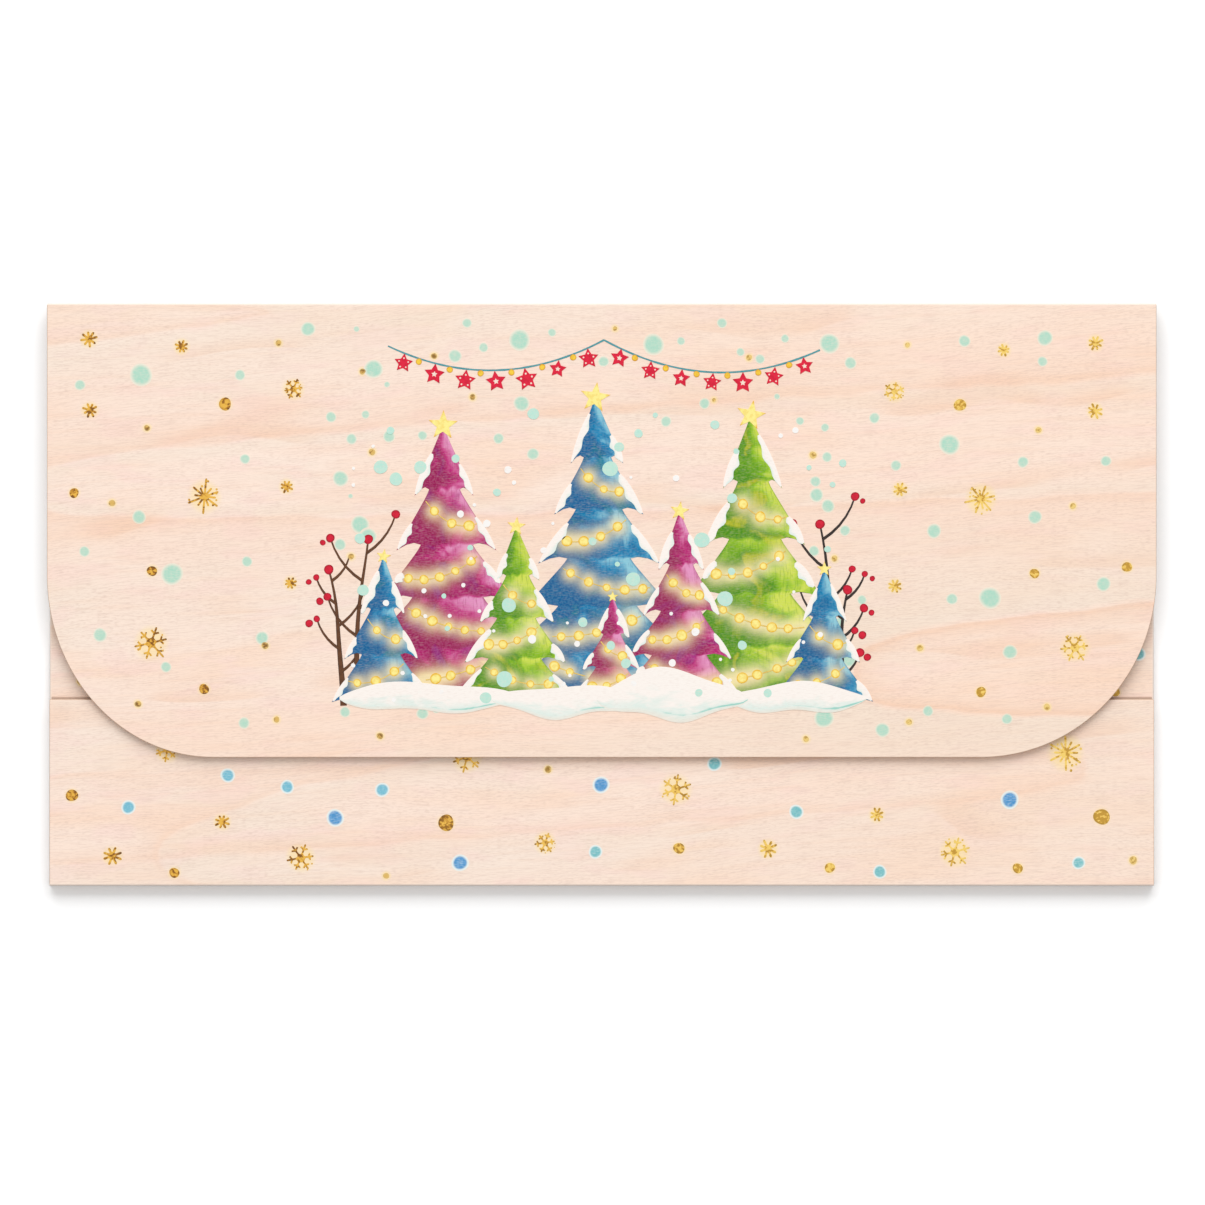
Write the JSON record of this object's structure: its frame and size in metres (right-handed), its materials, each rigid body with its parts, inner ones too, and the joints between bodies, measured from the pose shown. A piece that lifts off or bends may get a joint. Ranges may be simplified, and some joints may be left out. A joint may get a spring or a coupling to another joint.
{
  "type": "wooden gift envelope",
  "caption": "Flat gift envelope folded from printed wood veneer board, with a round-cornered flap on a scored spine that closes over a shallow glued pocket.",
  "frame": {"origin": "centre of the closed envelope's outline, on the outer face of its back, which is what it lies on", "axes": "+X along the width, +Y up the envelope to its top fold, +Z from the back to the front, where the flap is"},
  "size_m": [0.22, 0.1156, 0.0043],
  "materials": {
    "veneer_board": "pale maple veneer, fine sanded, with printed colours and gold foil on the front",
    "lining_card": "uncoated cream card",
    "glue_film": "clear double-sided film",
    "magnet_nickel": "nickel plated",
    "keeper_steel": "thin punched steel"
  },
  "bodies": {
    "pocket": {"back_panel": "veneer_board", "back_lining": "lining_card", "bottom_spine": "veneer_board", "bottom_flap": "veneer_board", "bottom_flap_lining": "lining_card", "pocket_magnet": "magnet_nickel", "left_spine": "veneer_board", "left_side_flap": "veneer_board", "left_glue_strip": "glue_film", "right_spine": "veneer_board", "right_side_flap": "veneer_board", "right_glue_strip": "glue_film"},
    "spine": {"top_spine": "veneer_board"},
    "flap": {"top_flap": "veneer_board", "top_flap_lining": "lining_card", "flap_keeper": "keeper_steel"}
  },
  "joints": [
    {"name": "spine_fold", "type": "hinge", "parent": "pocket", "child": "spine", "pos_m": [0, 0.05775, 0], "axis": [-1, 0, 0], "range_deg": [0, 90]},
    {"name": "flap_fold", "type": "hinge", "parent": "spine", "child": "flap", "pos_m": [0, 0.05775, 0.0043], "axis": [-1, 0, 0], "range_deg": [0, 90]}
  ]
}
